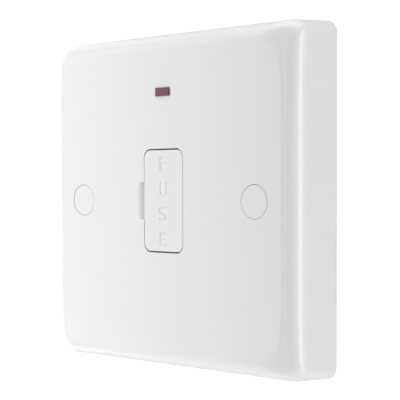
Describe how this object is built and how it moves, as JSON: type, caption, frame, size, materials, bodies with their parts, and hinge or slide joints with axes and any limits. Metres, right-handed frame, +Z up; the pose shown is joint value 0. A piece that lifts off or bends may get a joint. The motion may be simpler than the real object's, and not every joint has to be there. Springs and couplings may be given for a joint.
{
  "type": "fused spur unit",
  "caption": "White one-gang fused connection unit: round-edged wall plate, pull-out fuse carrier, neon window, capped fixings, and pillar terminals in a rear tray.",
  "frame": {"origin": "middle of the rim that lies against the wall, half way between the two fixing holes", "axes": "+Z up, +X to the right of a person facing the plate, -Y out of the face, +Y into the wall box"},
  "size_m": [0.086, 0.0255, 0.086],
  "materials": {
    "white_moulding": "glossy white moulding",
    "tray_moulding": "satin off-white moulding",
    "fuse_ceramic": "unglazed ceramic",
    "plated_cap": "bright nickel plate",
    "spring_bronze": "bright rolled strip",
    "link_brass": "rolled strip",
    "terminal_brass": "machined brass",
    "zinc_steel": "zinc plate",
    "lens_red": "tinted clear moulding",
    "lamp_glass": "clear glass",
    "resistor_body": "lacquered body",
    "tinned_wire": "tinned wire",
    "lead_sleeve": "clear sleeved wire"
  },
  "bodies": {
    "housing": {"front_plate": "white_moulding", "rear_base": "tray_moulding", "supply_clip": "spring_bronze", "load_clip": "spring_bronze", "neutral_link": "link_brass", "earth_link": "link_brass", "neon_lens": "lens_red", "neon_lamp": "lamp_glass", "neon_resistor": "resistor_body", "neon_bridge_lead": "tinned_wire", "neon_live_lead": "lead_sleeve", "neon_neutral_lead": "lead_sleeve", "base_screw_upper_left": "zinc_steel", "base_screw_upper_right": "zinc_steel", "base_screw_lower_left": "zinc_steel", "base_screw_lower_right": "zinc_steel", "neutral_load_terminal": "terminal_brass", "neutral_supply_terminal": "terminal_brass", "live_load_terminal": "terminal_brass", "live_supply_terminal": "terminal_brass", "earth_load_terminal": "terminal_brass", "earth_supply_terminal": "terminal_brass"},
    "drawer": {"fuse_carrier": "white_moulding", "fuse_barrel": "fuse_ceramic", "fuse_cap_upper": "plated_cap", "fuse_cap_lower": "plated_cap"},
    "cap_left": {"screw_cap_left": "white_moulding"},
    "cap_right": {"screw_cap_right": "white_moulding"},
    "neutral_load_clamp": {"neutral_load_screw": "zinc_steel"},
    "neutral_supply_clamp": {"neutral_supply_screw": "zinc_steel"},
    "live_load_clamp": {"live_load_screw": "zinc_steel"},
    "live_supply_clamp": {"live_supply_screw": "zinc_steel"},
    "earth_load_clamp": {"earth_load_screw": "zinc_steel"},
    "earth_supply_clamp": {"earth_supply_screw": "zinc_steel"}
  },
  "joints": [
    {"name": "carrier_draw", "type": "slide", "parent": "housing", "child": "drawer", "axis": [0, -1, 0], "range_m": [0, 0.014]},
    {"name": "cap_left_pull", "type": "slide", "parent": "housing", "child": "cap_left", "axis": [0, -1, 0], "range_m": [0, 0.006]},
    {"name": "cap_right_pull", "type": "slide", "parent": "housing", "child": "cap_right", "axis": [0, -1, 0], "range_m": [0, 0.006]},
    {"name": "neutral_load_clamp_travel", "type": "slide", "parent": "housing", "child": "neutral_load_clamp", "axis": [0, -1, 0], "range_m": [0, 0.003]},
    {"name": "neutral_supply_clamp_travel", "type": "slide", "parent": "housing", "child": "neutral_supply_clamp", "axis": [0, -1, 0], "range_m": [0, 0.003]},
    {"name": "live_load_clamp_travel", "type": "slide", "parent": "housing", "child": "live_load_clamp", "axis": [0, -1, 0], "range_m": [0, 0.003]},
    {"name": "live_supply_clamp_travel", "type": "slide", "parent": "housing", "child": "live_supply_clamp", "axis": [0, -1, 0], "range_m": [0, 0.003]},
    {"name": "earth_load_clamp_travel", "type": "slide", "parent": "housing", "child": "earth_load_clamp", "axis": [0, -1, 0], "range_m": [0, 0.003]},
    {"name": "earth_supply_clamp_travel", "type": "slide", "parent": "housing", "child": "earth_supply_clamp", "axis": [0, -1, 0], "range_m": [0, 0.003]}
  ]
}
